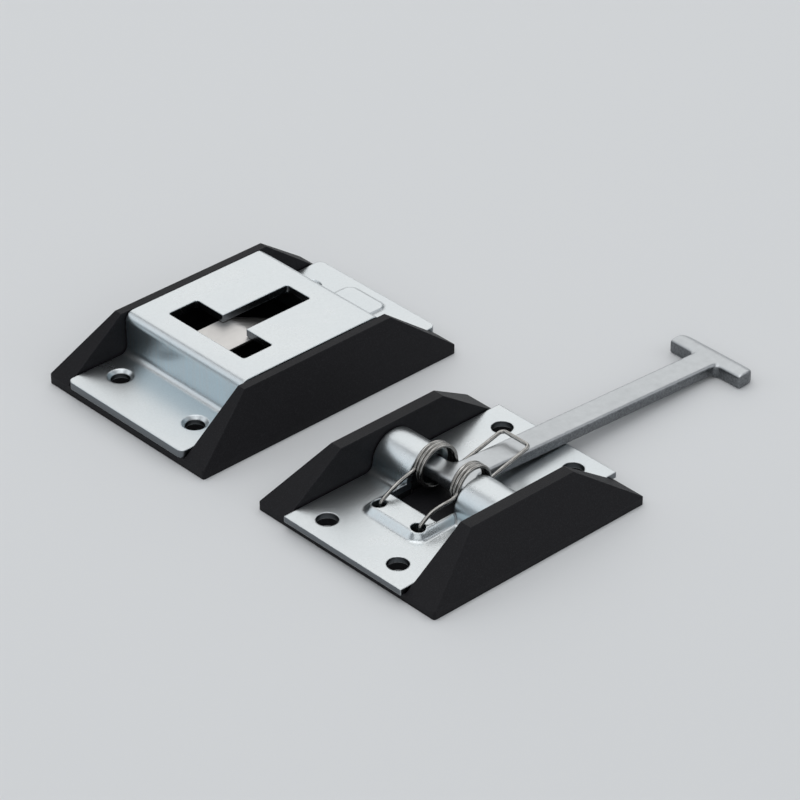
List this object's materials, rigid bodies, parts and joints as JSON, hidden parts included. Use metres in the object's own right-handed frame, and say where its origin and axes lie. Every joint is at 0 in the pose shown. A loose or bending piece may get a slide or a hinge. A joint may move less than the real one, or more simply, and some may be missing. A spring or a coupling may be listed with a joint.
{
  "type": "trailer door holder",
  "caption": "Trailer door holder: a sprung T-bar hinged on a base plate, and a separate raised keeper with a T-slot and leaf spring that catches the bar's head.",
  "frame": {"origin": "centre of the hinge half's screw pattern on its mounting face", "axes": "+Z off the mounting faces, +X along the T-bar toward its head, +Y toward the keeper half"},
  "size_m": [0.1519, 0.1617, 0.0188],
  "materials": {
    "frame_plastic": "fine matte texture",
    "zinc_plate": "bright zinc, satin",
    "zinc_bar": "bright zinc, satin",
    "spring_wire": "drawn wire",
    "leaf_steel": "satin"
  },
  "bodies": {
    "mounted_halves": {"hook_frame": "frame_plastic", "hook_plate": "zinc_plate", "torsion_spring": "spring_wire", "keeper_frame": "frame_plastic", "keeper_plate": "zinc_plate"},
    "bar": {"t_bar": "zinc_bar"},
    "leaf": {"keeper_leaf": "leaf_steel"}
  },
  "joints": [
    {"name": "t_bar_hinge", "type": "hinge", "parent": "mounted_halves", "child": "bar", "pos_m": [0, 0, 0.0064], "axis": [0, -1, 0], "range_deg": [0, 100], "stiffness_Nm_per_rad": 0.35, "springref_deg": -14.32, "deforming": ["torsion_spring"]},
    {"name": "leaf_flex", "type": "hinge", "parent": "mounted_halves", "child": "leaf", "pos_m": [0.0317, 0.0914, 0.0033], "axis": [0, -1, 0], "range_deg": [0, 12], "stiffness_Nm_per_rad": 2, "deforming": ["keeper_leaf"]}
  ]
}
